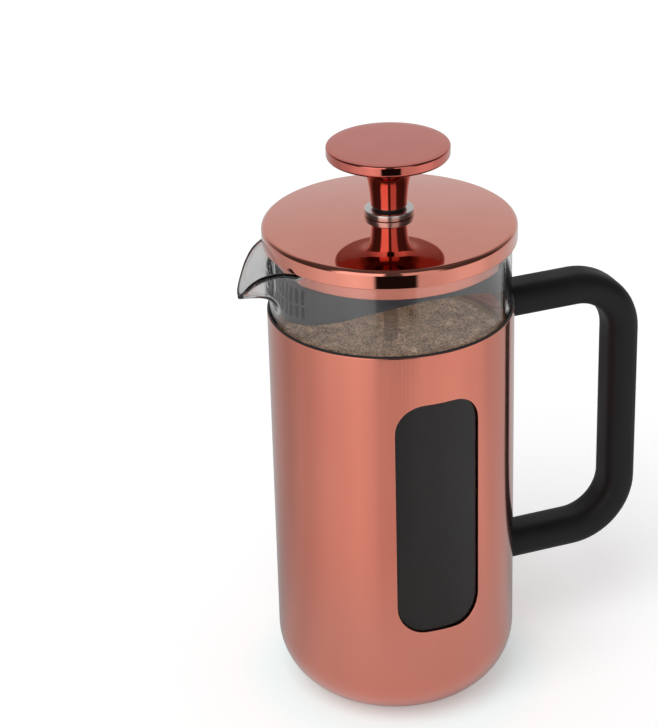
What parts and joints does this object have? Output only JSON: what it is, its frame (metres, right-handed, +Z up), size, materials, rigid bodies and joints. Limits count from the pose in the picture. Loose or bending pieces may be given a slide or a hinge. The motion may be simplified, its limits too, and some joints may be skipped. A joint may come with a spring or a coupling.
{
  "type": "french press",
  "caption": "Coffee press with a glass beaker in a copper-coloured sleeve with window cut-outs, a black loop handle, and a lid with a plunger, filter and strainer.",
  "frame": {"origin": "centre of the flat base face, on the beaker's axis", "axes": "+Z up along the plunger rod, +X towards the handle, -X towards the spout, window cut-outs facing -Y and +Y"},
  "size_m": [0.1729, 0.1006, 0.2393],
  "materials": {
    "satin_copper": "satin copper-coloured plating, brushed upright",
    "polished_copper": "mirror-polished copper-coloured plating",
    "stainless_steel": "bright turned or pressed stainless steel",
    "black_plastic": "matte soft-touch",
    "grey_plastic": "satin moulded",
    "natural_nylon": "satin moulded",
    "dark_silicone": "matte",
    "clear_glass": "clear polished",
    "brass": "turned"
  },
  "bodies": {
    "sleeve_and_handle": {"sleeve": "satin_copper", "beaker_cushion": "dark_silicone", "rim_liner": "dark_silicone", "upper_bracket": "stainless_steel", "lower_bracket": "stainless_steel", "handle": "black_plastic", "handle_screws": "stainless_steel"},
    "beaker": {"beaker": "clear_glass"},
    "lid_seat": {"lid_seat_ring": "dark_silicone"},
    "lid": {"lid_cap": "polished_copper", "lid_band": "polished_copper", "strainer_insert": "grey_plastic", "lid_collar": "stainless_steel", "guide_bush": "natural_nylon", "lid_washer": "stainless_steel", "lid_nut": "stainless_steel"},
    "plunger": {"knob": "polished_copper", "knob_insert": "brass", "knob_buffer": "dark_silicone", "plunger_rod": "stainless_steel", "rod_flange": "stainless_steel", "spring_plate": "stainless_steel", "edge_spring": "stainless_steel", "mesh_disc": "stainless_steel", "cross_plate": "stainless_steel", "filter_hub": "stainless_steel"}
  },
  "joints": [
    {"name": "beaker_lift", "type": "slide", "parent": "sleeve_and_handle", "child": "beaker", "axis": [0, 0, 1], "range_m": [0, 0.18]},
    {"name": "lid_lift", "type": "slide", "parent": "beaker", "child": "lid_seat", "axis": [0, 0, 1], "range_m": [0, 0.19]},
    {"name": "lid_turn", "type": "hinge", "parent": "lid_seat", "child": "lid", "pos_m": [0, 0, 0.2], "axis": [0, 0, 1], "continuous": true},
    {"name": "plunger_lift", "type": "slide", "parent": "lid", "child": "plunger", "axis": [0, 0, 1], "range_m": [0, 0.14]}
  ]
}
